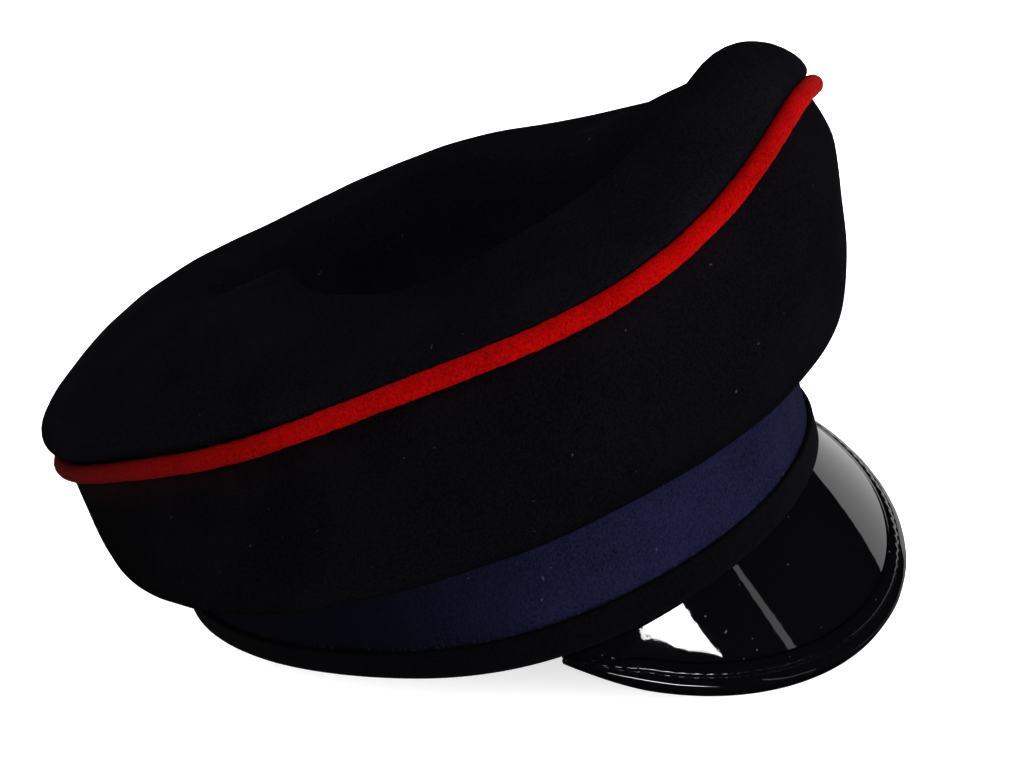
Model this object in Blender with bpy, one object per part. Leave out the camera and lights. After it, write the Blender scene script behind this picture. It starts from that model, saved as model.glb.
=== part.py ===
"""Peaked cap: felt crown with a padded roll, red piping, blue band, black strip and patent peak.

Metres, +Z up, the peak pointing to -Y, the wearer's right hand at -X. The cap is shaped standing
level on its band, then laid down as it rests: on the back of its strip and the front of its peak.
The origin is on the surface it rests on, under the middle of its box.
"""
import math

import bpy
import numpy as np
from mathutils import Matrix

# Band and strip, measured over the outside
BAND_WIDTH = 0.179
BAND_LENGTH = 0.203
BAND_SQUARENESS = 2.12
BAND_HEIGHT = 0.0355
BAND_WALL = 0.0025
STRIP_HEIGHT = 0.0098
STRIP_WALL = 0.0014
FOOT_WAVE = 0.004

# Crown, with heights from the foot of the band and reaches from the band's own outline
FELT = 0.0026
SEAM_HEIGHT = 0.110
CROWN_OVERHANG = 0.022
CROWN_TURN = 3.0
ROLL_RISE = 0.028
ROLL_WIDTH = 0.055
ROLL_SWELL = 0.0035
BELLY = 0.024
BASIN_HEIGHT = 0.066
BASIN_SLOPE = 0.10
PIPING_DIAMETER = 0.0058

# How full the curves of the crown are: shares of the rise, width, reach, height or belly they bend over
ROLL_BULGE = 1.27
ROLL_LIFT = 0.345
ROLL_TOP = 0.60
BASIN_REACH = 0.45
BASIN_SHOULDER = 0.22
BASIN_FOOT = 0.28
WALL_BULGE = 0.33
WALL_DROP = 0.30
BELLY_BULGE = 1.8
BELLY_HANG = 0.003

# Angles about the piping at which the felt lies against it
TOP_GROOVE = (176, 145, 115)
SIDE_GROOVE = (184, 215, 245)

# Peak: its half span round the band, and its edge ahead of and below the band
PEAK_HALF_ANGLE = 54.0
PEAK_END = 0.94
PEAK_REACH = 0.0196
PEAK_DROP = 0.0365
PEAK_CROWNING = 0.001
PEAK_LEATHER = 0.0024
BINDING_WIDTH = 0.0085
BINDING_WALL = 0.0011

# Play between pieces, and how far the felt gives where the cap rests
CLEARANCE = 0.0003
REST_SINK = 0.0008

# How finely the pieces are divided
SEGMENTS = 64
ROLL_STEPS = 6
BASIN_STEPS = 5
WALL_STEPS = 9
PIPING_SIDES = 8
PEAK_SEGMENTS = 32

# Sections of the crown from its front to its back; each half is the other's mirror image.
# overhang, height, rise, width and belly are shares of the crown's own sizes above.
CROWN_SECTIONS = (
    # angle, overhang, height, swell, rise, width, belly
    (0, 1.11, 1.04, 0.00, 0.50, 0.27, 0.65),
    (20, 1.10, 0.965, 0.10, 0.36, 0.42, 0.41),
    (40, 1.10, 0.884, 0.40, 0.24, 0.76, 0.46),
    (60, 0.88, 0.836, 0.50, 0.17, 0.91, 0.78),
    (90, 0.73, 0.739, 0.90, 0.62, 0.94, 1.13),
    (120, 0.65, 0.65, 1.85, 1.02, 1.20, 0.73),
    (150, 0.99, 0.554, 3.30, 1.16, 1.14, 0.22),
    (180, 1.00, 0.544, 2.40, 1.15, 0.88, 0.05),
)
SECTION_COLUMNS = ("angle", "overhang", "height", "swell", "rise", "width", "belly")

# The foot of the strip from the front to the back: how high it lies as a share of FOOT_WAVE, and
# how much of STRIP_HEIGHT shows.
FOOT_SECTIONS = (
    # angle, lift, strip
    (0, 0.52, 1.02),
    (20, 0.42, 1.03),
    (40, -0.05, 1.05),
    (60, -0.43, 1.02),
    (90, 0.25, 0.86),
    (120, 0.90, 0.82),
    (150, 1.10, 0.82),
    (180, 1.10, 0.82),
)
FOOT_COLUMNS = ("angle", "lift", "strip")

# Colours from the photograph, as linear values
NAVY_FELT = (0.006, 0.006, 0.011)
RED_FELT = (0.42, 0.004, 0.002)
BLUE_FELT = (0.018, 0.022, 0.060)
BLACK_CLOTH = (0.005, 0.005, 0.007)
PATENT = (0.003, 0.003, 0.004)

UP = np.array([0.0, 0.0, 1.0])


def clear_scene():
    for old in list(bpy.data.objects):
        bpy.data.objects.remove(old, do_unlink=True)


def material(name, colour, roughness):
    made = bpy.data.materials.new(name)
    made.use_nodes = True
    shader = made.node_tree.nodes["Principled BSDF"]
    shader.inputs["Base Color"].default_value = (*colour, 1.0)
    shader.inputs["Roughness"].default_value = roughness
    shader.inputs["Metallic"].default_value = 0.0
    return made


def turn_angles():
    """Angles round the cap from its front, towards the wearer's right."""
    return np.linspace(0.0, 2 * math.pi, SEGMENTS, endpoint=False)


def oval(angles, out=0.0):
    """Points of the band's outline, or of one that lies further out by the given amount."""
    half_width, half_length = BAND_WIDTH / 2 + out, BAND_LENGTH / 2 + out
    across, along = np.sin(angles), np.cos(angles)
    reach = (np.abs(across / half_width) ** BAND_SQUARENESS
             + np.abs(along / half_length) ** BAND_SQUARENESS) ** (-1 / BAND_SQUARENESS)
    return np.stack([-reach * across, -reach * along, np.zeros_like(reach)], axis=1)


def outward(angles):
    return np.stack([-np.sin(angles), -np.cos(angles), np.zeros_like(angles)], axis=1)


def table_values(table, columns, angles):
    """A table's columns at any angle: a cubic spline, level at the front and the back."""
    table = np.array(table, dtype=float)
    knots, rows = np.radians(table[:, 0]), len(table)
    gaps = np.diff(knots)
    left, right = np.eye(rows), np.zeros((rows, rows))
    for i in range(1, rows - 1):
        before, after = gaps[i - 1], gaps[i]
        left[i, i - 1:i + 2] = 1 / before, 2 / before + 2 / after, 1 / after
        right[i, i - 1:i + 2] = -3 / before ** 2, 3 / before ** 2 - 3 / after ** 2, 3 / after ** 2
    slopes = np.linalg.solve(left, right @ table)
    folded = np.abs((angles + math.pi) % (2 * math.pi) - math.pi)
    k = np.clip(np.searchsorted(knots, folded, side="right") - 1, 0, rows - 2)
    gap = gaps[k]
    u = ((folded - knots[k]) / gap)[:, None]
    gap = gap[:, None]
    values = ((2 * u ** 3 - 3 * u ** 2 + 1) * table[k] + (u ** 3 - 2 * u ** 2 + u) * gap * slopes[k]
              + (3 * u ** 2 - 2 * u ** 3) * table[k + 1] + (u ** 3 - u ** 2) * gap * slopes[k + 1])
    return {name: values[:, i:i + 1] for i, name in enumerate(columns)}


def section_values(angles):
    """The crown's shares at any angle: its front is turned a little towards the wearer's left."""
    turned = (angles + math.pi) % (2 * math.pi) - math.pi
    turned = turned + math.radians(CROWN_TURN) * ((1 + np.cos(turned)) / 2) ** 2
    return table_values(CROWN_SECTIONS, SECTION_COLUMNS, turned)


def bezier(start, pull, push, end, steps):
    """Points of one cubic stretch for every angle, without its first point."""
    u = np.linspace(0.0, 1.0, steps + 1)[1:, None, None]
    return (1 - u) ** 3 * start + 3 * u * (1 - u) ** 2 * pull + 3 * u ** 2 * (1 - u) * push + u ** 3 * end


def seam(angles):
    """The line that the piping follows, where the crown's top meets its side."""
    shares = section_values(angles)
    return (oval(angles) + outward(angles) * CROWN_OVERHANG * shares["overhang"]
            + UP * SEAM_HEIGHT * shares["height"])


def seam_groove(angles, turns):
    """Rows of a sheet's outer face round the piping: each turn is an angle about the piping's middle."""
    radius = PIPING_DIAMETER / 2 + CLEARANCE
    middle, out = seam(angles), outward(angles)
    rows = [middle + out * radius * math.cos(a) + UP * radius * math.sin(a) for a in np.radians(turns)]
    return np.array(rows)


def basin_point(brink, share):
    """A point of the sunken middle, at a share of the way out from its centre to its brink."""
    point = brink * share
    point[:, 2] = BASIN_HEIGHT + (brink[:, 2] - BASIN_HEIGHT) * share
    return point


def crown_top_sheet():
    """Outer face of the top, from the seam over the roll to the edge of the sunken middle."""
    angles = turn_angles()
    shares, out = section_values(angles), outward(angles)
    rise, width = ROLL_RISE * shares["rise"], ROLL_WIDTH * shares["width"]
    groove = seam_groove(angles, TOP_GROOVE)
    start, middle = groove[-1], seam(angles)
    crest = middle - out * width + UP * (rise + PIPING_DIAMETER / 2)
    swell = ROLL_SWELL * shares["swell"] + PIPING_DIAMETER / 2
    roll = bezier(start, start + out * swell * ROLL_BULGE + UP * rise * ROLL_LIFT,
                  crest + out * width * ROLL_TOP, crest, ROLL_STEPS)
    reach = np.linalg.norm(crest[:, :2], axis=1)[:, None]
    edge = reach * BASIN_REACH
    brink = out * edge + UP * (BASIN_HEIGHT - BASIN_SLOPE * out[:, 1:2] * edge)
    fall = bezier(crest, crest - out * reach * BASIN_SHOULDER, brink + out * reach * BASIN_FOOT,
                  brink, BASIN_STEPS)
    return np.concatenate([groove, roll, fall, basin_point(brink, BASIN_REACH)[None]])[::-1]


def crown_side_sheet():
    """Outer face of the side, from the seam down over the belly to the top of the band."""
    angles = turn_angles()
    shares, out = section_values(angles), outward(angles)
    belly = BELLY * shares["belly"]
    groove = seam_groove(angles, SIDE_GROOVE)
    start = groove[-1]
    foot = oval(angles) - out * CLEARANCE + UP * (BAND_HEIGHT + CLEARANCE)
    wall = bezier(start, start + out * belly * WALL_BULGE - UP * SEAM_HEIGHT * WALL_DROP,
                  foot + out * (belly * BELLY_BULGE + FELT) + UP * BELLY_HANG, foot, WALL_STEPS)
    return np.concatenate([groove, wall])


def sheet_object(name, rows, wall, finish, centre=None):
    """A closed-round sheet, its rows running down the outside, given its wall by Solidify."""
    count = rows.shape[1]
    points = rows.reshape(-1, 3)
    faces = []
    for r in range(rows.shape[0] - 1):
        for i in range(count):
            j = (i + 1) % count
            faces.append((r * count + i, r * count + j, (r + 1) * count + j, (r + 1) * count + i))
    if centre is not None:
        points = np.concatenate([points, [centre]])
        faces += [(len(points) - 1, (i + 1) % count, i) for i in range(count)]
    made = mesh_object(name, points, faces, finish)
    solid = made.modifiers.new("wall", "SOLIDIFY")
    solid.thickness = wall
    solid.offset = -1.0
    solid.use_even_offset = True
    return made


def ring_object(name, sections, finish, closed=True):
    """A solid lofted through flat sections, round the whole cap or from end to end."""
    count, size = sections.shape[0], sections.shape[1]
    faces = []
    for i in range(count if closed else count - 1):
        j = (i + 1) % count
        for p in range(size):
            q = (p + 1) % size
            a, b, c, d = i * size + p, i * size + q, j * size + q, j * size + p
            one, other = sections[i, p] - sections[j, q], sections[i, q] - sections[j, p]
            if one @ one <= other @ other:
                faces += [(a, b, c), (a, c, d)]
            else:
                faces += [(a, b, d), (b, c, d)]
    if not closed:
        faces.append(tuple(reversed(range(size))))
        faces.append(tuple((count - 1) * size + p for p in range(size)))
    return mesh_object(name, sections.reshape(-1, 3), faces, finish)


def mesh_object(name, points, faces, finish):
    mesh = bpy.data.meshes.new(name)
    mesh.from_pydata([tuple(map(float, p)) for p in points], [], faces)
    mesh.materials.append(finish)
    mesh.shade_smooth()
    made = bpy.data.objects.new(name, mesh)
    bpy.context.scene.collection.objects.link(made)
    return made


def piping(finish):
    angles = turn_angles()
    middle, out = seam(angles), outward(angles)
    turns = np.linspace(0.0, 2 * math.pi, PIPING_SIDES, endpoint=False)
    sections = np.stack([middle + (out * math.cos(a) + UP * math.sin(a)) * PIPING_DIAMETER / 2
                         for a in turns], axis=1)
    return ring_object("crown_piping", sections, finish)


def foot_lift(angles):
    """How much higher than the cap's own level the foot of the strip lies."""
    return FOOT_WAVE * table_values(FOOT_SECTIONS, FOOT_COLUMNS, angles)["lift"]


def waved(angles, height):
    """Heights that follow the strip's wavy foot and top and fade to the band's level top."""
    foot = STRIP_WALL + CLEARANCE
    shares = table_values(FOOT_SECTIONS, FOOT_COLUMNS, angles)
    stretch = (shares["strip"] - 1) * STRIP_HEIGHT * min(max((height - foot) / (STRIP_HEIGHT - foot), 0.0), 1.0)
    fade = min(1.0, (BAND_HEIGHT - height) / (BAND_HEIGHT - STRIP_HEIGHT))
    return height + (FOOT_WAVE * shares["lift"] + stretch) * fade


def wall_ring(name, profile, finish):
    """A ring whose section is a list of (distance out from the band's outline, height)."""
    angles = turn_angles()
    sections = [oval(angles) + outward(angles) * d + UP * waved(angles, z) for d, z in profile]
    return ring_object(name, np.stack(sections, axis=1), finish)


def band(finish):
    foot = STRIP_WALL + CLEARANCE
    profile = ((0.0, foot), (0.0, BAND_HEIGHT), (-BAND_WALL, BAND_HEIGHT), (-BAND_WALL, foot))
    return wall_ring("band", profile, finish)


def strip(finish):
    """The strip stands just proud of the band and is turned in under its foot."""
    inner, outer = CLEARANCE, CLEARANCE + STRIP_WALL
    profile = ((-BAND_WALL, 0.0), (outer * 0.5, 0.0), (outer, STRIP_HEIGHT * 0.15),
               (outer, STRIP_HEIGHT * 0.9), (outer * 0.8, STRIP_HEIGHT), (inner, STRIP_HEIGHT),
               (inner, STRIP_WALL), (-BAND_WALL, STRIP_WALL))
    return wall_ring("band_strip", profile, finish)


def peak_lines():
    """Root and edge of the peak's upper face, and its outward direction, from end to end."""
    shares = np.linspace(-PEAK_END, PEAK_END, PEAK_SEGMENTS + 1)
    turn = np.radians(shares * PEAK_HALF_ANGLE)
    root = oval(turn) - outward(turn) * BAND_WALL / 2 + UP * (foot_lift(turn) - CLEARANCE)
    corner = oval(np.radians([PEAK_HALF_ANGLE]), STRIP_WALL + CLEARANCE)[0]
    ahead = np.cos(shares * math.pi / 2)[:, None]
    forward = np.array([0.0, -BAND_LENGTH / 2 - PEAK_REACH - corner[1], -PEAK_DROP])
    corner_lift = foot_lift(np.radians([PEAK_HALF_ANGLE]))[0]
    edge = ahead * forward + UP * ((1 - ahead) * corner_lift - CLEARANCE)
    edge[:, 0] = corner[0] * np.sin(shares * math.pi / 2)
    edge[:, 1] += corner[1]
    run = edge - root
    normal = unit(np.cross(run, np.gradient(root + edge, axis=0)))
    normal *= np.sign(normal[:, 2:3])
    return root, run, normal


def unit(vectors):
    return vectors / np.linalg.norm(vectors, axis=1)[:, None]


def peak_rows():
    """Rows of the peak's upper face from root to edge, each with the direction of its thickness.

    The last two rows bound the flat facet that the binding is folded over.
    """
    root, run, normal = peak_lines()
    length = np.linalg.norm(run, axis=1)[:, None]
    crowning = PEAK_CROWNING * length / length.max()
    back = 1 - np.minimum(BINDING_WIDTH, length / 2) / length
    rows = [root + run * v + normal * crowning * 4 * v * (1 - v) for v in (0, back / 3, back * 2 / 3, back, 1)]
    along = np.gradient(rows[-1], axis=0)
    lift = unit(np.cross(rows[-1] - rows[-2], along))
    lift *= np.sign(np.sum(lift * normal, axis=1))[:, None]
    out = unit(np.cross(lift, along))
    out *= np.sign(np.sum(out * run, axis=1))[:, None]
    return rows, (normal, normal, normal, lift, lift), out


def peak(finish):
    upper, thickness = peak_rows()[:2]
    lower = [points - way * PEAK_LEATHER for points, way in zip(upper, thickness)]
    return ring_object("peak", np.stack(lower + upper[::-1], axis=1), finish, closed=False)


def binding(finish):
    """A folded strip round the peak's edge, open towards the peak."""
    rows, thickness, out = peak_rows()
    lift = thickness[-1]
    gap, skin, under = CLEARANCE, CLEARANCE + BINDING_WALL, PEAK_LEATHER + CLEARANCE
    profile = ((-1, gap, gap), (-1, gap, -under), (-2, 0.0, -under), (-2, 0.0, -under - BINDING_WALL),
               (-1, 0.0, -under - BINDING_WALL), (-1, skin * 0.75, -under - BINDING_WALL * 0.6),
               (-1, skin, -PEAK_LEATHER / 2), (-1, skin * 0.75, skin * 0.6), (-1, 0.0, skin),
               (-2, 0.0, skin), (-2, 0.0, gap))
    sections = [rows[row] + out * beyond + lift * up for row, beyond, up in profile]
    return ring_object("peak_binding", np.stack(sections, axis=1), finish, closed=False)


def vertices(thing):
    return np.array([v.co[:] for v in thing.data.vertices])


def lowest_after(points, tilt):
    return (points[:, 2] * math.cos(tilt) - points[:, 1] * math.sin(tilt)).min()


def rest_tilt(front, back):
    """The tilt that puts the peak's edge and the back of the strip on one level."""
    low, high = 0.0, math.radians(30)
    for _ in range(40):
        tilt = (low + high) / 2
        if lowest_after(front, tilt) < lowest_after(back, tilt) + REST_SINK:
            low = tilt
        else:
            high = tilt
    return tilt


def lay_down(pieces, front, back):
    """Tips the cap onto its peak and strip, and flattens the strip where it rests."""
    tilt = rest_tilt(vertices(front), vertices(back))
    level = lowest_after(vertices(front), tilt)
    turn = Matrix.Rotation(-tilt, 4, "X")
    for piece in pieces:
        piece.data.transform(Matrix.Translation((0.0, 0.0, -level)) @ turn)
    for vertex in back.data.vertices:
        vertex.co.z = max(vertex.co.z, 0.0)
    bpy.context.view_layer.update()
    shift = -middle_of_box(pieces)
    for piece in pieces:
        piece.data.transform(Matrix.Translation((shift[0], shift[1], 0.0)))


def middle_of_box(pieces):
    corners = np.concatenate([np.array(piece.bound_box) for piece in pieces])
    return (corners.min(axis=0) + corners.max(axis=0)) / 2


def main():
    clear_scene()
    navy = material("navy_felt", NAVY_FELT, 0.9)
    red = material("red_felt", RED_FELT, 0.85)
    blue = material("blue_felt", BLUE_FELT, 0.9)
    black = material("black_cloth", BLACK_CLOTH, 0.85)
    patent = material("patent_leather", PATENT, 0.08)
    crown = (sheet_object("crown_top", crown_top_sheet(), FELT, navy, centre=(0.0, 0.0, BASIN_HEIGHT)),
             sheet_object("crown_side", crown_side_sheet(), FELT, navy), piping(red))
    foot, brim, edge = strip(black), peak(patent), binding(patent)
    lay_down((*crown, band(blue), foot, brim, edge), edge, foot)


main()
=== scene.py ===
"""Looks of the peaked cap: felt crown, red piping, blue band, black strip and bound patent peak.

Every surface is shaped standing level on the band, as the cap is worn, with the peak at -Y and
the wearer's right at -X, and is then laid down the way the cap rests. Lengths are in metres.
"""
import math
from types import SimpleNamespace

import bpy
import numpy as np
from mathutils import Matrix, Vector, noise


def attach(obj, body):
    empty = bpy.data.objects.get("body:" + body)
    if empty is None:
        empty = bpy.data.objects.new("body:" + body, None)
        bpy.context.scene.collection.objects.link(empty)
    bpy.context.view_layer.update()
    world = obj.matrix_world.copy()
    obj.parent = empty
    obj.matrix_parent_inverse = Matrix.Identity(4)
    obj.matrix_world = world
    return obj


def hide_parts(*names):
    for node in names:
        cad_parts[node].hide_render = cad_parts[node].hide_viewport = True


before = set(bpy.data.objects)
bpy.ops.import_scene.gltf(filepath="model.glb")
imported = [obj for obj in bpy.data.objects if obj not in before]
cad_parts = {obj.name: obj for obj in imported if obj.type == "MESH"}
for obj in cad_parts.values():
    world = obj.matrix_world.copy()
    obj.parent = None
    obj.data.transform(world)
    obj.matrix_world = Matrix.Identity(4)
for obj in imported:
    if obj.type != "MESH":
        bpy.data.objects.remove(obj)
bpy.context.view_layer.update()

# The way the cap lies: tipped back on its strip and its peak, then moved over its origin
REST_TILT = math.radians(11.357)
REST_SHIFT = (-0.000046, -0.004758, 0.015040)

# The camera as it stood before the level cap: turn, height and lean in degrees, distance and scale,
# and the pixel of the picture on which the middle of the cap falls
VIEW_AZIMUTH = -57.75
VIEW_ELEVATION = 21.67
VIEW_ROLL = -18.17
VIEW_DISTANCE = 0.560
PIXELS_PER_METRE = 3156.0
PICTURE_WIDTH = 1024
PICTURE_HEIGHT = 768
CAP_MIDDLE = (499.70, 510.42)
SENSOR_WIDTH = 36.0

# Band and strip, measured over the outside
BAND_WIDTH = 0.179
BAND_LENGTH = 0.203
BAND_SQUARENESS = 2.12
BAND_HEIGHT = 0.0355
BAND_WALL = 0.0025
STRIP_HEIGHT = 0.0098
STRIP_WALL = 0.0014
FOOT_WAVE = 0.004
BAND_ROUNDING = 0.0004
BAND_STEP = 0.0015
STRIP_ROUNDING = 0.0006
STRIP_STEP = 0.0012

# Crown, with heights from the foot of the band and reaches from the band's own outline
FELT = 0.0026
SEAM_HEIGHT = 0.110
CROWN_OVERHANG = 0.022
CROWN_TURN = 3.0
ROLL_RISE = 0.028
ROLL_WIDTH = 0.055
ROLL_SWELL = 0.0035
BELLY = 0.024
BASIN_HEIGHT = 0.066
BASIN_SLOPE = 0.10
PIPING_DIAMETER = 0.0058

# How full the curves of the crown are: shares of the rise, width, reach, height or belly they bend over
ROLL_BULGE = 1.27
ROLL_LIFT = 0.345
ROLL_TOP = 0.60
BASIN_REACH = 0.45
BASIN_SHOULDER = 0.22
BASIN_FOOT = 0.28
WALL_BULGE = 0.33
WALL_DROP = 0.30
BELLY_BULGE = 1.8
BELLY_HANG = 0.003
INNERMOST_RING = 0.04

# The front is a little fuller under the piping: by how much, how far down the wall, over what
# share of it, how far aside in radians, and how fast that fades round the cap
FRONT_FULLNESS = 0.0020
FULLNESS_DOWN = 0.20
FULLNESS_SPREAD = 0.16
FULLNESS_TURN = 0.25
FULLNESS_FADE = 6

# Beside the piping the felt is thin, and there and at its foot the felt lies even
SEAM_THIN_WITHIN = 0.016
SEAM_THINNEST = 0.12
CALM_FROM = 0.004
CALM_OVER = 0.012
CALM_FOOT_ROWS = 8.0

# First and last angle about the piping, in degrees, at which the felt of the top and of the side
# lies against it
TOP_GROOVE = (176, 115)
SIDE_GROOVE = (184, 245)

# Peak
PEAK_HALF_ANGLE = 54.0
PEAK_END = 0.998
PEAK_REACH = 0.0196
PEAK_DROP = 0.0365
PEAK_CROWNING = 0.001
PEAK_LEATHER = 0.0024
BINDING_WIDTH = 0.0085
BINDING_WALL = 0.0011
PEAK_THIN_UNDER = 0.016
PEAK_THINNEST = 0.1
PEAK_THIN_FADE = 0.8

# The gap between neighbours, and the shares of it that the seam and the strip keep
CLEARANCE = 0.0003
GROOVE_GAP = 0.4
PIPING_GAP = 0.2
STRIP_GAP = 0.6

# Sections of the crown from its front to its back; each half is the other's mirror image.
# All but the angle are shares of the crown's own sizes above.
CROWN_SECTIONS = (
    # angle, overhang, height, swell, rise, width, belly
    (0, 1.11, 1.04, 0.00, 0.50, 0.27, 0.65),
    (20, 1.10, 0.965, 0.10, 0.36, 0.42, 0.41),
    (40, 1.10, 0.884, 0.40, 0.24, 0.76, 0.46),
    (60, 0.88, 0.836, 0.50, 0.17, 0.91, 0.78),
    (90, 0.73, 0.739, 0.90, 0.62, 0.94, 1.13),
    (120, 0.65, 0.65, 1.85, 1.02, 1.20, 0.73),
    (150, 0.99, 0.554, 3.30, 1.16, 1.14, 0.22),
    (180, 1.00, 0.544, 2.40, 1.15, 0.88, 0.05),
)
SECTION_COLUMNS = ("angle", "overhang", "height", "swell", "rise", "width", "belly")

# The foot of the strip from the front to the back: how high it lies as a share of FOOT_WAVE, and
# how much of STRIP_HEIGHT shows.
FOOT_SECTIONS = (
    # angle, lift, strip
    (0, 0.52, 1.02),
    (20, 0.42, 1.03),
    (40, -0.05, 1.05),
    (60, -0.43, 1.02),
    (90, 0.25, 0.86),
    (120, 0.90, 0.82),
    (150, 1.10, 0.82),
    (180, 1.10, 0.82),
)
FOOT_COLUMNS = ("angle", "lift", "strip")

# How finely the surfaces are divided
ROUND_STEPS = 320
GROOVE_STEPS = 7
ROLL_STEPS = 26
BASIN_STEPS = 24
FLOOR_STEPS = 10
WALL_STEPS = 48
PIPING_STEPS = 1500
PIPING_SIDES = 20
PEAK_STEPS = 240
PEAK_ROWS = 28

# Unevenness of the cloth and the leather: waves of a scale, a depth and a seed
TOP_WAVES = ((26.0, 0.0011, 1), (75.0, 0.00028, 2))
SIDE_WAVES = ((22.0, 0.0012, 3), (70.0, 0.0003, 4))
PIPING_WAVES = ((110.0, 0.00020, 5), (480.0, 0.00018, 6), (1100.0, 0.00014, 9))
BAND_WAVES = ((32.0, 0.0002, 7),)
STRIP_WAVES = ((45.0, 0.00025, 8),)
PUCKER_WAVE = (200.0, 1.0, 11)
ROLL_WAVE = (120.0, 0.00016, 12)

# Colours deepen on the way to the back, from one share of that way to another, and turn plain
# again past the middle of the back: on the piping and the band this is painted shade
PIPING_SHADE = (0.32, 0.76)
BAND_SHADE = (0.21, 0.52)
BLEED_SHADE = (0.35, 0.80)
SHADE_DEPTH = 0.92
SHADE_ENDS = math.radians(210)
SHADE_FADE = math.radians(45)

# The red that the piping leaves on the felt under it, and the pale lint with a painted highlight along the
# strip's edge
BLEED_FROM = 0.0030
BLEED_OVER = 0.0110
BLEED_FADE = 1.6
PALE_EDGE_ABOVE = 0.0004
PALE_EDGE_SPREAD = 0.0005

# The binding's stitches, and how deep each draws the leather in
STITCH_PITCH = 0.0040
STITCH_LENGTH = 0.0031
STITCH_RADIUS = 0.00024
STITCH_LINE = 0.00475
STITCH_HEIGHT = 0.00060
STITCH_BOW = 0.9
STITCH_BLUNTNESS = 0.45
PUCKER_DEPTH = 0.00017
PUCKER_FROM = 0.003
PUCKER_TO = 0.0049
PUCKER_SHARPNESS = 4
PUCKER_WAVER = 0.35
ROLL_FROM = 0.005
ROLL_OVER = 0.001

# Distance from the binding's inner edge and height over the peak's upper face, in millimetres
BINDING_PROFILE = (
    (0.0, 0.05), (1.2, 0.10), (2.0, 0.42), (2.8, 0.80), (3.2, 0.96), (3.5, 1.04), (3.8, 1.09),
    (4.05, 1.10), (4.3, 1.00), (4.7, 0.76), (4.85, 0.72), (5.3, 0.90), (5.7, 1.03), (6.1, 1.12),
    (6.5, 1.20), (6.9, 1.265), (7.3, 1.31), (7.7, 1.33), (8.0, 1.27), (8.3, 1.05), (8.7, 0.55),
    (9.0, -0.05), (9.2, -0.60))

# The room that the peak mirrors: a cut-off lamp, the pale table beside the cap and its far rim
LAMP_HEIGHT = 1.45
LAMP_CORNERS = ((-0.395, -0.42), (-0.527, -0.43), (-0.562, -0.55), (-0.580, -0.80),
                (-0.576, -1.10), (-0.548, -1.31), (-0.495, -1.50), (-0.39, -1.85))
LAMP_STRENGTH = 19.0
CARD_HEIGHT = 0.0005
CARD_CORNERS = ((0.05, 0.6), (0.05, -0.13), (0.0, -0.18), (0.9, -2.2), (1.8, -2.2),
                (1.8, 0.6), (1.8, -1.35))
CARD_RIM = ((1.8, 0.6, 0.25), (1.8, -0.86, 0.20), (1.8, -1.35, 0.02))
CARD_FACES = ((0, 1, 2, 3, 4, 6, 5), (5, 6, 9, 8, 7))
CARD_STRENGTH = 0.5
FLOOR_REACH = 6.0
FLOOR_COLOUR = (0.80, 0.80, 0.80)
FLOOR_GLOW = 0.60
WORLD_LIGHT = 2.0

LIGHTS = (
    # name, place, target, size, power, mirrored
    ("tall_strip", (0.48, -2.45, 1.55), (0, -0.10, 1.55), (0.115, 1.5), 0.34, True),
    ("front_card", (0.05, -2.2, 0.50), (0, 0, 0.10), (1.3, 0.6), 85, False),
    ("back_card", (1.3, 2.0, 1.0), (0, 0, 0.08), (1.2, 1.0), 3, True),
)

UP = np.array([0.0, 0.0, 1.0])


# Shader maths
class Socket:
    """An output of a material's node; sums written with it add Math nodes."""

    def __init__(self, finish, output):
        self.finish = finish
        self.output = output

    def maths(self, operation, *values):
        return self.finish.add("ShaderNodeMath", {"operation": operation}, dict(enumerate(values)))

    def __add__(self, other):
        return self.maths("ADD", self, other)

    def __radd__(self, other):
        return self.maths("ADD", other, self)

    def __sub__(self, other):
        return self.maths("SUBTRACT", self, other)

    def __rsub__(self, other):
        return self.maths("SUBTRACT", other, self)

    def __mul__(self, other):
        return self.maths("MULTIPLY", self, other)

    def step(self, low, high):
        """Nought below low, one above high, smooth between them."""
        return self.finish.add("ShaderNodeMapRange", {"interpolation_type": "SMOOTHSTEP"},
                               {"Value": self, "From Min": low, "From Max": high})


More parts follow.
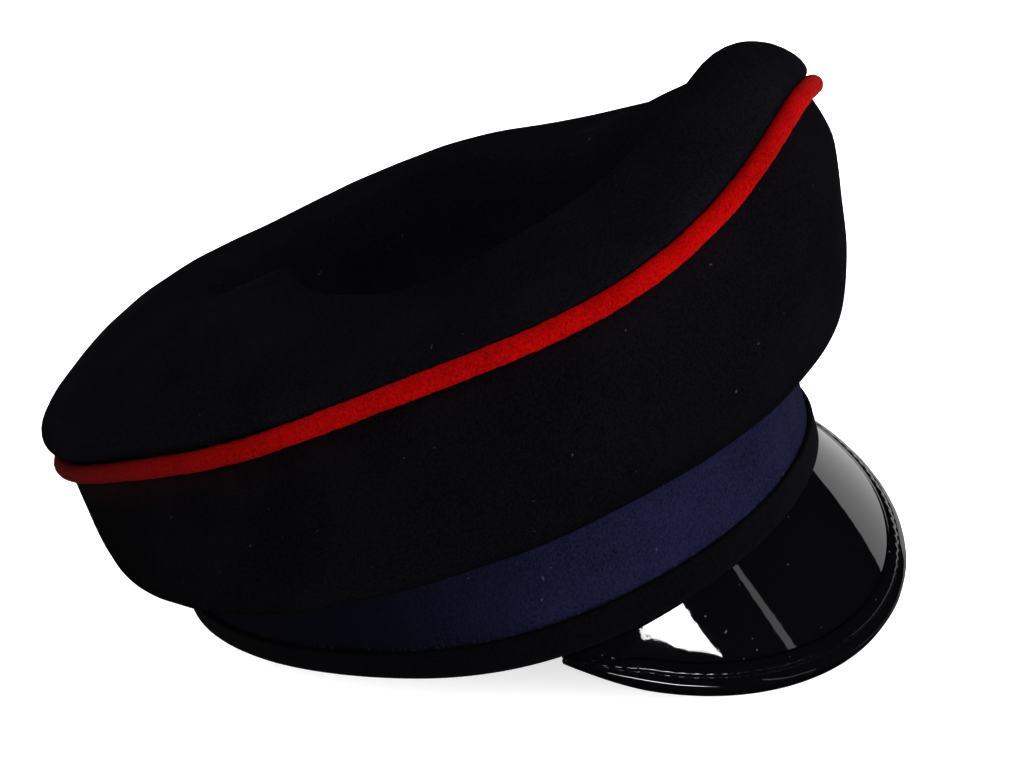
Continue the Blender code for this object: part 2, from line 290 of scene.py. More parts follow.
class Finish:
    """A material of one Principled shader, built up from nodes."""

    def __init__(self, name, colour, roughness, **uniform):
        self.material = bpy.data.materials.new(name)
        self.material.use_nodes = True
        self.tree = self.material.node_tree
        self.shader = self.tree.nodes["Principled BSDF"]
        self.put(self.shader, {"Base Color": colour, "Roughness": roughness, "Metallic": 0.0, **uniform})
        self.place = self.add("ShaderNodeTexCoord", {}, {}, "Object")

    def put(self, node, sockets):
        for key, value in sockets.items():
            socket = node.inputs[key]
            if isinstance(value, Socket):
                self.tree.links.new(value.output, socket)
            elif isinstance(value, tuple) and len(value) == 3 and len(socket.default_value) == 4:
                socket.default_value = (*value, 1.0)
            else:
                socket.default_value = value

    def add(self, kind, settings, sockets, output=0):
        """A node with its settings put first, then its sockets; gives one of its outputs."""
        node = self.tree.nodes.new(kind)
        for key, value in settings.items():
            setattr(node, key, value)
        self.put(node, sockets)
        return Socket(self, node.outputs[output])

    def mix(self, share, first, second):
        return self.add("ShaderNodeMix", {"data_type": "RGBA"}, {0: share, 6: first, 7: second}, 2)

    def noise(self, scale, detail=2.0, roughness=0.5, place=None):
        return self.add("ShaderNodeTexNoise", {}, {"Vector": place or self.place, "Scale": scale,
                                                   "Detail": detail, "Roughness": roughness})

    def mark(self, name):
        """A value that the mesh carries at each of its points."""
        return self.add("ShaderNodeAttribute", {"attribute_name": name}, {}, "Fac")

    def stretched(self, across, along, up):
        return self.add("ShaderNodeVectorMath", {"operation": "MULTIPLY"},
                        {0: self.place, 1: (across, along, up)})

    def set(self, **sockets):
        self.put(self.shader, {key.replace("_", " "): value for key, value in sockets.items()})

    def bump(self, height, strength, distance, under=None):
        sockets = {"Height": height, "Strength": strength, "Distance": distance}
        if under is not None:
            sockets["Normal"] = under
        return self.add("ShaderNodeBump", {}, sockets)


def darker(colour, share):
    return tuple(channel * share for channel in colour)


def felt_finish(name, colour, fleck, sheen, changes=None, nap_depth=0.00010, fleck_share=0.79):
    """Napped wool felt: cloudy colour, short matted fibres and a few pale flecks."""
    made = Finish(name, colour, 0.92, **{"Sheen Weight": sheen, "Sheen Roughness": 0.45,
                                         "Sheen Tint": fleck, "Specular IOR Level": 0.008})
    clouds = made.noise(38.0, 3.0)
    matted = made.noise(1300.0, 3.0, 0.6)
    fibres = made.noise(2400.0, 2.0, 0.6, made.stretched(1.0, 1.0, 0.45))
    shade = clouds * 0.4 + matted * 0.6 + fibres * 0.7 - 0.35
    body = made.mix(shade.step(0.15, 0.85), darker(colour, 0.35), darker(colour, 1.65))
    specks = made.noise(560.0, 1.0, 0.4).step(fleck_share, fleck_share + 0.05)
    body = made.mix(specks * 0.16, body, fleck)
    if changes is not None:
        body = changes(made, body)
    fine = made.bump(fibres, 0.5, nap_depth * 0.6)
    made.set(Base_Color=body, Normal=made.bump(matted, 0.8, nap_depth, fine))
    return made.material


NAVY = (0.00122, 0.00115, 0.00185)
NAVY_SIDE = (0.00086, 0.00080, 0.00116)
NAVY_FLECK = (0.060, 0.062, 0.075)
RED = (0.105, 0.0004, 0.0003)
RED_FLECK = (0.30, 0.012, 0.008)
BLUE = (0.0028, 0.0028, 0.0096)
BLUE_FLECK = (0.10, 0.10, 0.17)
CLOTH = (0.00066, 0.00062, 0.00092)
PATENT = (0.0008, 0.0008, 0.0011)
THREAD = (0.0012, 0.0012, 0.0014)
BLED_RED = (0.016, 0.0006, 0.0005)
WORN_RED = (0.085, 0.0005, 0.0004)
# Colours of the painted shade on the piping and the band
SHADED_RED = (0.022, 0.0003, 0.0002)
SHADED_BLUE = (0.0008, 0.0008, 0.0019)
# Pale lint with a painted highlight on the band's edge over the strip
PALE_LINT_AND_HIGHLIGHT = (0.20, 0.20, 0.26)
DUST = (0.11, 0.11, 0.12)


def red_bleed(made, body):
    """The red of the piping's cover lies on the felt close under it, in patches, most towards the back."""
    patches = (made.noise(300.0, 4.0, 0.7) * 2.2 - 0.5) * (0.6 + made.noise(45.0, 1.0) * 0.8)
    near = made.mark("near_piping") * patches * (0.12 + made.mark("back").step(*BLEED_SHADE))
    return made.mix(near * 0.38, body, BLED_RED)


def piping_patches_and_painted_shade(made, body):
    """The piping's red felt is patchy, and drawn deeper towards the back on the cap's right side as painted
    shade.
    """
    patches = made.noise(160.0, 3.0).step(0.40, 0.72)
    body = made.mix(patches * 0.35, body, WORN_RED)
    # Painted shade: the red darkens towards the back, standing in for less light there
    return made.mix(made.mark("back").step(*PIPING_SHADE) * SHADE_DEPTH, body, SHADED_RED)


def band_shaded(made, body):
    """The band's blue is drawn deeper towards the back as painted shade, and pale lint with a painted
    highlight sits along the strip's edge.
    """
    edge = made.mark("edge") * made.noise(900.0, 2.0).step(0.52, 0.70)
    # Painted shade: the blue darkens towards the back
    body = made.mix(made.mark("back").step(*BAND_SHADE) * SHADE_DEPTH, body, SHADED_BLUE)
    # Pale lint and a painted highlight along the band's edge over the strip
    return made.mix(edge * 0.10, body, PALE_LINT_AND_HIGHLIGHT)


def cloth_finish():
    """Black facing cloth, matt, with a short soft nap."""
    made = Finish("black_cloth_weave", CLOTH, 0.95, **{"Sheen Weight": 0.004, "Sheen Roughness": 0.5,
                                                       "Specular IOR Level": 0.004})
    grain = made.noise(1100.0, 3.0, 0.65)
    matted = made.noise(420.0, 3.0, 0.6)
    body = made.mix((grain + matted * 0.3).step(0.35, 0.95), darker(CLOTH, 0.6), darker(CLOTH, 1.4))
    made.set(Base_Color=body, Normal=made.bump(grain + matted, 0.6, 0.00012))
    return made.material


def patent_finish(name, rough, wave):
    """Black patent: a clear hard gloss over leather, with slow waves and a little dust."""
    made = Finish(name, PATENT, rough, **{"Coat Roughness": 0.015, "Specular IOR Level": 0.6})
    waves = made.noise(75.0, 2.0, 0.45)
    ripples = made.noise(420.0, 2.0, 0.5)
    dust = made.noise(800.0, 1.0, 0.4).step(0.77, 0.82)
    smear = made.noise(55.0, 4.0, 0.6).step(0.45, 0.75)
    body = made.mix(dust * 0.30, PATENT, DUST)
    made.set(Base_Color=body, Roughness=rough + smear * 0.012 + dust * 0.25,
             Coat_Weight=1.0 - dust * 0.6, Normal=made.bump(waves + ripples * 0.12, wave, 0.0012))
    return made.material


def thread_finish():
    """Dull black thread with its twist."""
    made = Finish("waxed_thread", THREAD, 0.6, **{"Specular IOR Level": 0.08})
    twist = made.add("ShaderNodeTexWave", {"wave_type": "BANDS", "bands_direction": "DIAGONAL"},
                     {"Vector": made.place, "Scale": 900.0})
    made.set(Normal=made.bump(twist, 0.5, 0.00006))
    return made.material


# Shapes
def oval(angles, out=0.0):
    half_width, half_length = BAND_WIDTH / 2 + out, BAND_LENGTH / 2 + out
    across, along = np.sin(angles), np.cos(angles)
    reach = (np.abs(across / half_width) ** BAND_SQUARENESS
             + np.abs(along / half_length) ** BAND_SQUARENESS) ** (-1 / BAND_SQUARENESS)
    return np.stack([-reach * across, -reach * along, np.zeros_like(reach)], axis=1)


def outward(angles):
    return np.stack([-np.sin(angles), -np.cos(angles), np.zeros_like(angles)], axis=1)


def turn_angles(steps=ROUND_STEPS):
    return np.linspace(0.0, 2 * math.pi, steps, endpoint=False)


def folded(angles):
    """Angle from the front, the same on both sides."""
    return np.abs((angles + math.pi) % (2 * math.pi) - math.pi)


def table_values(table, columns, angles):
    """A table's columns at any angle: a cubic spline, level at the front and the back."""
    table = np.array(table, dtype=float)
    knots, rows = np.radians(table[:, 0]), len(table)
    gaps = np.diff(knots)
    left, right = np.eye(rows), np.zeros((rows, rows))
    for i in range(1, rows - 1):
        before, after = gaps[i - 1], gaps[i]
        left[i, i - 1:i + 2] = 1 / before, 2 / before + 2 / after, 1 / after
        right[i, i - 1:i + 2] = -3 / before ** 2, 3 / before ** 2 - 3 / after ** 2, 3 / after ** 2
    slopes = np.linalg.solve(left, right @ table)
    turned = folded(angles)
    k = np.clip(np.searchsorted(knots, turned, side="right") - 1, 0, rows - 2)
    gap = gaps[k]
    u = ((turned - knots[k]) / gap)[:, None]
    gap = gap[:, None]
    values = ((2 * u ** 3 - 3 * u ** 2 + 1) * table[k] + (u ** 3 - 2 * u ** 2 + u) * gap * slopes[k]
              + (3 * u ** 2 - 2 * u ** 3) * table[k + 1] + (u ** 3 - u ** 2) * gap * slopes[k + 1])
    return {name: values[:, i:i + 1] for i, name in enumerate(columns)}


def section_values(angles):
    """The crown's shares at any angle: its front is turned a little towards the wearer's left."""
    turned = (angles + math.pi) % (2 * math.pi) - math.pi
    turned = turned + math.radians(CROWN_TURN) * ((1 + np.cos(turned)) / 2) ** 2
    return table_values(CROWN_SECTIONS, SECTION_COLUMNS, turned)


def bezier(start, pull, push, end, steps):
    u = np.linspace(0.0, 1.0, steps + 1)[1:, None, None]
    return (1 - u) ** 3 * start + 3 * u * (1 - u) ** 2 * pull + 3 * u ** 2 * (1 - u) * push + u ** 3 * end


def seam(angles):
    shares = section_values(angles)
    return (oval(angles) + outward(angles) * CROWN_OVERHANG * shares["overhang"]
            + UP * SEAM_HEIGHT * shares["height"])


def seam_groove(angles, first, last):
    """Rows of a sheet's outer face round the piping, between two angles about its middle."""
    radius = PIPING_DIAMETER / 2 + CLEARANCE * GROOVE_GAP
    middle, out = seam(angles), outward(angles)
    turns = np.radians(np.linspace(first, last, GROOVE_STEPS))
    return np.array([middle + out * radius * math.cos(a) + UP * radius * math.sin(a) for a in turns])


def crown_top_rows(angles):
    shares, out = section_values(angles), outward(angles)
    rise, width = ROLL_RISE * shares["rise"], ROLL_WIDTH * shares["width"]
    groove = seam_groove(angles, *TOP_GROOVE)
    start, middle = groove[-1], seam(angles)
    crest = middle - out * width + UP * (rise + PIPING_DIAMETER / 2)
    swell = ROLL_SWELL * shares["swell"] + PIPING_DIAMETER / 2
    roll = bezier(start, start + out * swell * ROLL_BULGE + UP * rise * ROLL_LIFT,
                  crest + out * width * ROLL_TOP, crest, ROLL_STEPS)
    reach = np.linalg.norm(crest[:, :2], axis=1)[:, None]
    edge = reach * BASIN_REACH
    brink = out * edge + UP * (BASIN_HEIGHT - BASIN_SLOPE * out[:, 1:2] * edge)
    fall = bezier(crest, crest - out * reach * BASIN_SHOULDER, brink + out * reach * BASIN_FOOT,
                  brink, BASIN_STEPS)
    rings = []
    for share in np.linspace(1.0, INNERMOST_RING, FLOOR_STEPS)[1:]:
        ring = brink * share
        ring[:, 2] = BASIN_HEIGHT + (brink[:, 2] - BASIN_HEIGHT) * share
        rings.append(ring)
    return np.concatenate([groove, roll, fall, np.array(rings)])


def crown_side_rows(angles):
    shares, out = section_values(angles), outward(angles)
    belly = BELLY * shares["belly"]
    groove = seam_groove(angles, *SIDE_GROOVE)
    start = groove[-1]
    foot = oval(angles) - out * CLEARANCE + UP * (BAND_HEIGHT + CLEARANCE)
    wall = bezier(start, start + out * belly * WALL_BULGE - UP * SEAM_HEIGHT * WALL_DROP,
                  foot + out * (belly * BELLY_BULGE + FELT) + UP * BELLY_HANG, foot, WALL_STEPS)
    return np.concatenate([groove, wall])


def foot_lift(angles):
    """How much higher than the cap's own level the foot of the strip lies."""
    return FOOT_WAVE * table_values(FOOT_SECTIONS, FOOT_COLUMNS, angles)["lift"]


def waved(angles, height):
    """Heights that follow the strip's wavy foot and top and fade to the band's level top."""
    foot = STRIP_WALL + CLEARANCE
    shares = table_values(FOOT_SECTIONS, FOOT_COLUMNS, angles)
    up = min(max((height - foot) / (STRIP_HEIGHT - foot), 0.0), 1.0)
    stretch = (shares["strip"] - 1) * STRIP_HEIGHT * up
    fade = min(1.0, (BAND_HEIGHT - height) / (BAND_HEIGHT - STRIP_HEIGHT))
    return height + (FOOT_WAVE * shares["lift"] + stretch) * fade


def unit(vectors):
    return vectors / np.linalg.norm(vectors, axis=-1, keepdims=True)


def peak_lines(steps=PEAK_STEPS):
    shares = np.linspace(-PEAK_END, PEAK_END, steps + 1)
    turn = np.radians(shares * PEAK_HALF_ANGLE)
    root = oval(turn) - outward(turn) * BAND_WALL / 2 + UP * (foot_lift(turn) - CLEARANCE)
    corner = oval(np.radians([PEAK_HALF_ANGLE]), STRIP_WALL + CLEARANCE)[0]
    ahead = np.cos(shares * math.pi / 2)[:, None]
    forward = np.array([0.0, -BAND_LENGTH / 2 - PEAK_REACH - corner[1], -PEAK_DROP])
    corner_lift = foot_lift(np.radians([PEAK_HALF_ANGLE]))[0]
    edge = ahead * forward + UP * ((1 - ahead) * corner_lift - CLEARANCE)
    edge[:, 0] = corner[0] * np.sin(shares * math.pi / 2)
    edge[:, 1] += corner[1]
    run = edge - root
    normal = unit(np.cross(run, np.gradient(root + edge, axis=0)))
    normal *= np.sign(normal[:, 2:3])
    return root, run, normal


def peak_frame():
    """The peak's rows, and the flat facet at its edge that the binding lies on, thin at its two ends."""
    root, run, normal = peak_lines()
    length = np.linalg.norm(run, axis=1)[:, None]
    crowning = PEAK_CROWNING * length / length.max()
    back = 1 - np.minimum(BINDING_WIDTH, length / 2) / length

    def row(v):
        return root + run * v + normal * crowning * 4 * v * (1 - v)

    inner, edge = row(back), row(1.0)
    along = np.gradient(edge, axis=0)
    lift = unit(np.cross(edge - inner, along))
    lift *= np.sign(np.sum(lift * normal, axis=1))[:, None]
    out = unit(np.cross(lift, along))
    out *= np.sign(np.sum(out * run, axis=1))[:, None]
    thin = np.clip(length / PEAK_THIN_UNDER, PEAK_THINNEST, 1.0) ** PEAK_THIN_FADE
    return SimpleNamespace(row=row, back=back, inner=inner, edge=edge, normal=normal, lift=lift, out=out,
                           thin=thin)


# Meshes
def laid_down():
    return Matrix.Translation(REST_SHIFT) @ Matrix.Rotation(-REST_TILT, 4, "X")


def mesh_piece(name, points, faces, finish, marks=None):
    mesh = bpy.data.meshes.new(name)
    mesh.from_pydata([tuple(map(float, p)) for p in points], [], faces)
    for key, values in (marks or {}).items():
        held = mesh.attributes.new(key, "FLOAT", "POINT")
        held.data.foreach_set("value", np.asarray(values, dtype=float).ravel())
    mesh.materials.append(finish)
    mesh.transform(laid_down())
    mesh.shade_smooth()
    made = bpy.data.objects.new(name, mesh)
    bpy.context.scene.collection.objects.link(made)
    return made


def dress(piece, node):
    """The piece rides with the cap and stands for a node, whose imported part is hidden."""
    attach(piece, "root")
    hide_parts(node)
    return piece


def grid_faces(rows, count):
    faces = []
    for r in range(rows - 1):
        for i in range(count):
            j = (i + 1) % count
            faces.append((r * count + i, r * count + j, (r + 1) * count + j, (r + 1) * count + i))
    return faces


def row_normals(rows):
    """Unit normals of a closed-round grid whose rows run down the outside."""
    down = np.gradient(rows, axis=0)
    round_ = np.roll(rows, -1, axis=1) - np.roll(rows, 1, axis=1)
    return unit(np.cross(round_, down))


def sheet_piece(name, outer, wall, finish, marks, shut_top):
    """A closed sheet of felt from its outer face: an inner face follows at the wall's depth."""
    count = outer.shape[1]
    distance = np.linalg.norm(outer - seam(turn_angles(count))[None], axis=2, keepdims=True)
    inner = outer - row_normals(outer) * wall * np.clip(distance / SEAM_THIN_WITHIN, SEAM_THINNEST, 1.0)
    rows, back = outer.shape[0], outer.shape[0] * count
    faces = grid_faces(rows, count)
    faces += [tuple(back + i for i in reversed(face)) for face in grid_faces(rows, count)]
    last = (rows - 1) * count
    for i in range(count):
        j = (i + 1) % count
        faces.append((last + i, last + j, back + last + j, back + last + i))
        if not shut_top:
            faces.append((j, i, back + i, back + j))
    if shut_top:
        faces.append(tuple(range(count))[::-1])
        faces.append(tuple(back + i for i in range(count)))
    marks = {key: np.concatenate([values, values]) for key, values in marks.items()}
    return mesh_piece(name, np.concatenate([outer, inner]).reshape(-1, 3), faces, finish, marks)


def ring_piece(name, sections, finish, marks=None, closed=True):
    """A solid lofted through flat sections, round the whole cap or from end to end."""
    count, size = sections.shape[:2]
    faces = []
    for i in range(count if closed else count - 1):
        j = (i + 1) % count
        for p in range(size):
            q = (p + 1) % size
            faces.append((i * size + p, i * size + q, j * size + q, j * size + p))
    if not closed:
        faces.append(tuple(reversed(range(size))))
        faces.append(tuple((count - 1) * size + p for p in range(size)))
    return mesh_piece(name, sections.reshape(-1, 3), faces, finish, marks)


def ruffle(points, *waves):
    """Slow unevenness of cloth, as a length at each point. A wave is its scale, its depth and its seed."""
    total = 0.0
    for scale, depth, seed in waves:
        shift = Vector((seed * 13.7, seed * 5.1, seed * 9.3))
        values = [noise.noise(Vector(p) * scale + shift) for p in points.reshape(-1, 3)]
        total = total + np.array(values).reshape(points.shape[:-1])[..., None] * depth
    return total


def calm_at_seam(rows):
    """Nought on the rows in the groove beside the piping, one a little way off."""
    middle = seam(turn_angles(rows.shape[1]))
    distance = np.linalg.norm(rows - middle[None], axis=2, keepdims=True)
    return np.clip((distance - CALM_FROM) / CALM_OVER, 0.0, 1.0)


def back_share(angles):
    """How far towards the back on the cap's right side, which carries the painted shade, gone again past the
    middle of the back.
    """
    past = np.clip((SHADE_ENDS - angles % (2 * math.pi)) / SHADE_FADE, 0.0, 1.0)
    return folded(angles) / math.pi * past * past * (3 - 2 * past)


def crown_top():
    angles = turn_angles()
    rows = crown_top_rows(angles)[::-1]
    rows = rows + row_normals(rows) * ruffle(rows, *TOP_WAVES) * calm_at_seam(rows)
    finish = felt_finish("navy_felt_top", NAVY, NAVY_FLECK, sheen=0.0075)
    piece = sheet_piece("crown_top_felt", rows, FELT, finish, {}, True)
    return dress(piece, "crown_top")


def crown_side():
    angles = turn_angles()
    rows = crown_side_rows(angles)
    down = np.linspace(0.0, 1.0, rows.shape[0])[:, None, None]
    ahead = (1 + np.cos(angles + FULLNESS_TURN)) / 2
    fullness = np.exp(-((down - FULLNESS_DOWN) / FULLNESS_SPREAD) ** 2) * ahead[:, None] ** FULLNESS_FADE
    rows = rows + outward(angles) * fullness * calm_at_seam(rows) ** 0.5 * FRONT_FULLNESS
    foot = np.clip(np.arange(rows.shape[0])[::-1] / CALM_FOOT_ROWS, 0.0, 1.0)[:, None, None]
    rows = rows + row_normals(rows) * ruffle(rows, *SIDE_WAVES) * calm_at_seam(rows) * foot
    distance = np.linalg.norm(rows - seam(angles)[None], axis=2)
    near = np.clip(1.0 - (distance - BLEED_FROM) / BLEED_OVER, 0.0, 1.0) ** BLEED_FADE
    back = np.repeat(back_share(angles)[None], rows.shape[0], axis=0)
    marks = {"near_piping": near, "back": back}
    finish = felt_finish("navy_felt_side", NAVY_SIDE, NAVY_FLECK, sheen=0.0065, changes=red_bleed)
    piece = sheet_piece("crown_side_felt", rows, FELT, finish, marks, False)
    return dress(piece, "crown_side")


def piping():
    angles = turn_angles(PIPING_STEPS)
    middle, out = seam(angles), outward(angles)
    turns = np.linspace(0.0, 2 * math.pi, PIPING_SIDES, endpoint=False)
    radius = PIPING_DIAMETER / 2 - CLEARANCE * PIPING_GAP
    sections = np.stack([middle + (out * math.cos(a) + UP * math.sin(a)) * radius for a in turns], axis=1)
    around = unit(sections - middle[:, None])
    sections = sections + around * ruffle(sections, *PIPING_WAVES)
    marks = {"back": np.repeat(back_share(angles), PIPING_SIDES)}
    finish = felt_finish("red_felt_cover", RED, RED_FLECK, sheen=0.008, changes=piping_patches_and_painted_shade, fleck_share=0.80)
    return dress(ring_piece("piping_felt", sections, finish, marks), "crown_piping")


def wall_sections(angles, profile):
    return np.stack([oval(angles) + outward(angles) * d + UP * waved(angles, z) for d, z in profile], axis=1)


def rounded(corners, radius, steps=4):
    """A closed outline with its corners rounded off."""
    points = []
    corners = [np.array(c, dtype=float) for c in corners]
    for before, corner, after in zip(corners[-1:] + corners[:-1], corners, corners[1:] + corners[:1]):
        to_before, to_after = before - corner, after - corner
        cut = min(radius, np.linalg.norm(to_before) * 0.45, np.linalg.norm(to_after) * 0.45)
        a = corner + to_before / np.linalg.norm(to_before) * cut
        b = corner + to_after / np.linalg.norm(to_after) * cut
        for u in np.linspace(0.0, 1.0, steps):
            points.append((1 - u) ** 2 * a + 2 * u * (1 - u) * corner + u ** 2 * b)
    return points


def with_steps(corners, most):
    """The same outline with long runs divided, so that a surface can bend there."""
    points = []
    for here, after in zip(corners, corners[1:] + corners[:1]):
        count = max(1, int(np.linalg.norm(after - here) / most))
        points += [here + (after - here) * k / count for k in range(count)]
    return points


def band():
    angles = turn_angles()
    foot = STRIP_WALL + CLEARANCE
    corners = ((0.0, foot), (0.0, BAND_HEIGHT), (-BAND_WALL, BAND_HEIGHT), (-BAND_WALL, foot))
    profile = with_steps(rounded(corners, BAND_ROUNDING), BAND_STEP)
    sections = wall_sections(angles, profile)
    outer = np.array([d > -BAND_ROUNDING / 2 for d, z in profile])[None, :, None]
    out = outward(angles)[:, None]
    sections = sections + out * ruffle(sections, *BAND_WAVES) * outer
    heights = np.array([z for d, z in profile])
    edge = np.exp(-((heights - STRIP_HEIGHT - PALE_EDGE_ABOVE) / PALE_EDGE_SPREAD) ** 2)
    marks = {"back": np.repeat(back_share(angles), len(profile)), "edge": np.tile(edge, len(angles))}
    finish = felt_finish("blue_felt_nap", BLUE, BLUE_FLECK, sheen=0.008, changes=band_shaded,
                         nap_depth=0.00011, fleck_share=0.785)
    return dress(ring_piece("band_felt", sections, finish, marks), "band")


def strip():
    angles = turn_angles()
    inner, outer = CLEARANCE * STRIP_GAP, CLEARANCE + STRIP_WALL
    corners = ((-BAND_WALL, 0.0), (outer * 0.5, 0.0), (outer, STRIP_HEIGHT * 0.15), (outer, STRIP_HEIGHT),
               (inner, STRIP_HEIGHT), (inner, STRIP_WALL), (-BAND_WALL, STRIP_WALL))
    profile = with_steps(rounded(corners, STRIP_ROUNDING), STRIP_STEP)
    sections = wall_sections(angles, profile)
    outside = np.array([d > outer * 0.45 for d, z in profile])[None, :, None]
    sections = sections + outward(angles)[:, None] * ruffle(sections, *STRIP_WAVES) * outside
    piece = ring_piece("strip_cloth", sections, cloth_finish())
    for vertex in piece.data.vertices:
        vertex.co.z = max(vertex.co.z, 0.0)
    return dress(piece, "band_strip")


def peak():
    p = peak_frame()
    shares = np.linspace(0.0, 1.0, PEAK_ROWS)
    upper = [p.row(p.back * u) for u in shares] + [p.edge]
    ways = [unit(p.normal * (1 - u) + p.lift * u) for u in shares] + [p.lift]
    lower = [points - way * PEAK_LEATHER * p.thin for points, way in zip(upper, ways)]
    sections = np.stack(lower + upper[::-1], axis=1)
    finish = patent_finish("patent_gloss", rough=0.02, wave=0.05)
    return dress(ring_piece("peak_patent", sections, finish, closed=False), "peak")


def binding():
    """A folded strip round the peak's edge: an inner ridge, a stitched channel and an outer roll."""
    p = peak_frame()
    run = p.edge - p.inner
    path = np.concatenate([[0.0], np.cumsum(np.linalg.norm(np.diff(p.edge, axis=0), axis=1))])
    pucker = (0.5 + 0.5 * np.cos(2 * math.pi * path / STITCH_PITCH)) ** PUCKER_SHARPNESS
    pucker = pucker + PUCKER_WAVER * ruffle(p.edge, PUCKER_WAVE)[:, 0]
    waver = ruffle(p.edge, ROLL_WAVE)
    sections = []
    for across, height in BINDING_PROFILE:
        across, height = across / 1000, height / 1000
        place = p.inner + run * min(across / BINDING_WIDTH, 1.0)
        beyond = p.out * max(across - BINDING_WIDTH, 0.0) * p.thin
        rise = height * p.thin + waver * min(1.0, max(0.0, across - ROLL_FROM) / ROLL_OVER)
        if PUCKER_FROM < across < PUCKER_TO:
            rise = rise - PUCKER_DEPTH * pucker[:, None]
        sections.append(place + beyond + p.lift * rise)
    leather, wall = PEAK_LEATHER * p.thin, BINDING_WALL * p.thin
    under = -leather - CLEARANCE
    # Down the outside
    for beyond, up in ((0.0012, -leather * 0.65), (0.0010, under * 0.9), (0.0005, under - wall * 0.7)):
        sections.append(p.edge + p.out * beyond * p.thin + p.lift * up)
    # Under the leather to the inner edge and back
    for share, up in ((1.0, under - wall), (0.5, under - wall), (0.05, under - wall * 0.9),
                      (0.0, under - wall * 0.5), (0.02, under), (1.0, under)):
        sections.append(p.inner + run * share + p.lift * up)
    # Up round the leather's own edge
    for beyond, up in ((CLEARANCE, under), (CLEARANCE, CLEARANCE), (0.0, CLEARANCE)):
        sections.append(p.edge + p.out * beyond + p.lift * up)
    finish = patent_finish("patent_binding", rough=0.05, wave=0.16)
    piece = ring_piece("peak_binding_patent", np.stack(sections, axis=1)[:, ::-1], finish, closed=False)
    return dress(piece, "peak_binding")


def capsule(start, end, lift, radius, rings=7, sides=8):
    """Points and faces of one stitch, a rounded rod bowed a little up from its ends."""
    along = unit(end - start)
    side = unit(np.cross(lift, along))
    points, faces = [start], []
    for r in range(1, rings):
        u = r / rings
        thick = radius * math.sin(math.pi * u) ** STITCH_BLUNTNESS
        middle = start + (end - start) * u + lift * radius * STITCH_BOW * math.sin(math.pi * u)
        for s in range(sides):
            a = 2 * math.pi * s / sides
            points.append(middle + (side * math.cos(a) + lift * math.sin(a)) * thick)
    points.append(end)
    for s in range(sides):
        t = (s + 1) % sides
        faces.append((0, 1 + t, 1 + s))
        for r in range(rings - 2):
            a, b = 1 + r * sides, 1 + (r + 1) * sides
            faces.append((a + s, a + t, b + t, b + s))
        faces.append((len(points) - 1, 1 + (rings - 2) * sides + s, 1 + (rings - 2) * sides + t))
    return points, faces


def joined(parts):
    points, faces = [], []
    for part_points, part_faces in parts:
        base = len(points)
        points += list(part_points)
        faces += [tuple(base + i for i in face) for face in part_faces]
    return points, faces


def stitches():
    p = peak_frame()
    line = p.inner + (p.edge - p.inner) * (STITCH_LINE / BINDING_WIDTH) + p.lift * STITCH_HEIGHT * p.thin
    path = np.concatenate([[0.0], np.cumsum(np.linalg.norm(np.diff(line, axis=0), axis=1))])

    def at(distance, values):
        return np.array([np.interp(distance, path, values[:, k]) for k in range(3)])

    parts = []
    place = STITCH_PITCH
    while place + STITCH_LENGTH < path[-1] - STITCH_PITCH:
        lift = unit(at(place, p.lift))
        parts.append(capsule(at(place, line), at(place + STITCH_LENGTH, line), lift, STITCH_RADIUS))
        place += STITCH_PITCH
    piece = mesh_piece("binding_stitches", *joined(parts), thread_finish())
    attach(piece, "root")
    return piece


# The room
def floor():
    mesh = bpy.data.meshes.new("floor")
    corners = ((-1, -1, 0), (1, -1, 0), (1, 1, 0), (-1, 1, 0))
    mesh.from_pydata([tuple(FLOOR_REACH * way for way in corner) for corner in corners], [], [(0, 1, 2, 3)])
    paper = Finish("pale_floor", FLOOR_COLOUR, 0.9, **{
        "Specular IOR Level": 0.0, "Emission Color": (1.0, 1.0, 1.0), "Emission Strength": FLOOR_GLOW})
    mesh.materials.append(paper.material)
    made = bpy.data.objects.new("floor", mesh)
    made.visible_glossy = False
    bpy.context.scene.collection.objects.link(made)


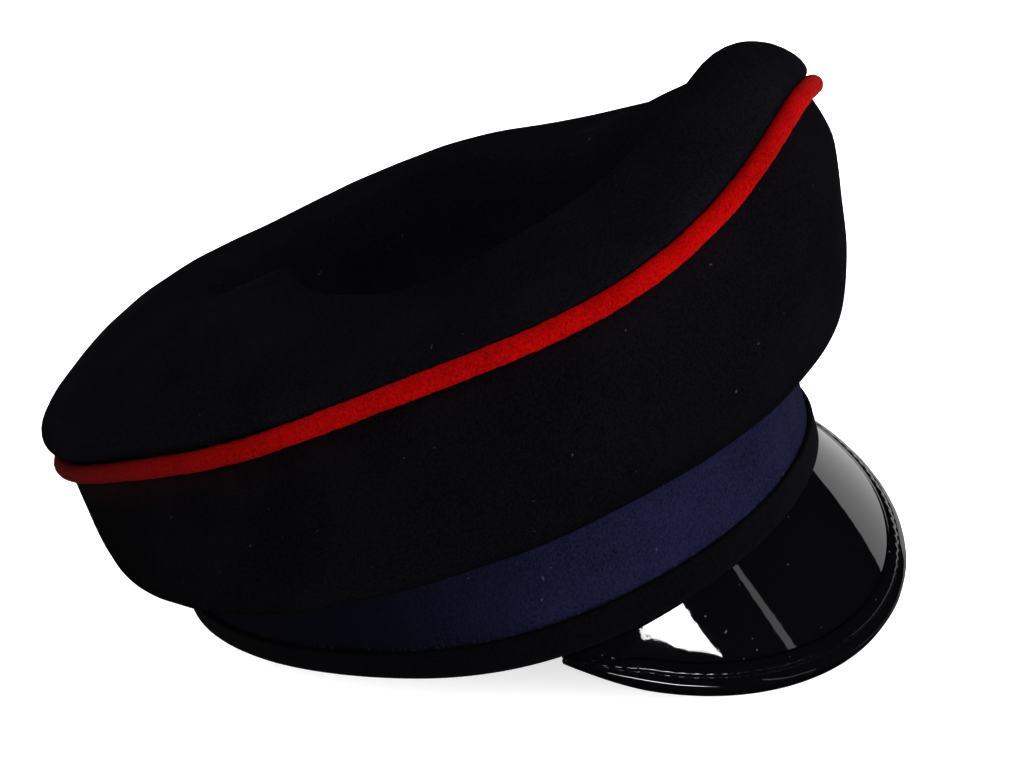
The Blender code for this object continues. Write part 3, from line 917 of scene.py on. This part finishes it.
def camera():
    turn, height, roll = (math.radians(a) for a in (VIEW_AZIMUTH, VIEW_ELEVATION, VIEW_ROLL))
    back = Vector((math.sin(turn) * math.cos(height), -math.cos(turn) * math.cos(height), math.sin(height)))
    level = Vector((math.cos(turn), math.sin(turn), 0.0))
    upright = back.cross(level)
    right = level * math.cos(roll) + upright * math.sin(roll)
    up = upright * math.cos(roll) - level * math.sin(roll)
    aside = (CAP_MIDDLE[0] - PICTURE_WIDTH / 2) / PIXELS_PER_METRE
    below = (CAP_MIDDLE[1] - PICTURE_HEIGHT / 2) / PIXELS_PER_METRE
    place = back * VIEW_DISTANCE - right * aside + up * below
    pose = Matrix((right, up, back)).transposed().to_4x4()
    pose.translation = place
    data = bpy.data.cameras.new("camera")
    data.sensor_width = SENSOR_WIDTH
    data.lens = PIXELS_PER_METRE * VIEW_DISTANCE * SENSOR_WIDTH / PICTURE_WIDTH
    made = bpy.data.objects.new("camera", data)
    made.matrix_world = laid_down() @ pose
    bpy.context.scene.collection.objects.link(made)
    bpy.context.scene.camera = made


def lit_shape(name, points, faces, strength, lights_felt):
    """A plain glowing shape that the camera doesn't see: what the peak's gloss mirrors."""
    mesh = bpy.data.meshes.new(name)
    mesh.from_pydata(points, [], faces)
    glow = Finish(name, (0.0, 0.0, 0.0), 1.0, **{
        "Specular IOR Level": 0.0, "Emission Color": (1.0, 1.0, 1.0), "Emission Strength": strength})
    mesh.materials.append(glow.material)
    made = bpy.data.objects.new(name, mesh)
    made.visible_camera = False
    made.visible_diffuse = lights_felt
    made.visible_shadow = False
    bpy.context.scene.collection.objects.link(made)


def mirrored_room():
    """A cut-off ceiling lamp over the cap's right, and the pale table and its far rim to its left."""
    lamp = [(x, y, LAMP_HEIGHT) for x, y in LAMP_CORNERS]
    lit_shape("ceiling_lamp", lamp, [tuple(range(len(lamp)))], LAMP_STRENGTH, True)
    card = [(x, y, CARD_HEIGHT) for x, y in CARD_CORNERS] + list(CARD_RIM)
    lit_shape("table_card", card, CARD_FACES, CARD_STRENGTH, False)


def soft_light(name, place, target, size, power, mirrored):
    data = bpy.data.lights.new(name, "AREA")
    data.shape = "RECTANGLE"
    data.size, data.size_y = size
    data.energy = power
    made = bpy.data.objects.new(name, data)
    made.location = place
    made.rotation_euler = (Vector(target) - Vector(place)).to_track_quat("-Z", "Y").to_euler()
    made.visible_glossy = mirrored
    bpy.context.scene.collection.objects.link(made)


def lights():
    world = bpy.data.worlds.new("room")
    world.use_nodes = True
    sky = world.node_tree.nodes["Background"]
    sky.inputs["Color"].default_value = (1.0, 1.0, 1.0, 1.0)
    sky.inputs["Strength"].default_value = WORLD_LIGHT
    world.cycles_visibility.glossy = False
    bpy.context.scene.world = world
    bpy.context.scene.view_settings.view_transform = "Standard"
    for light in LIGHTS:
        soft_light(*light)


crown_top()
crown_side()
piping()
band()
strip()
peak()
binding()
stitches()
floor()
mirrored_room()
camera()
lights()
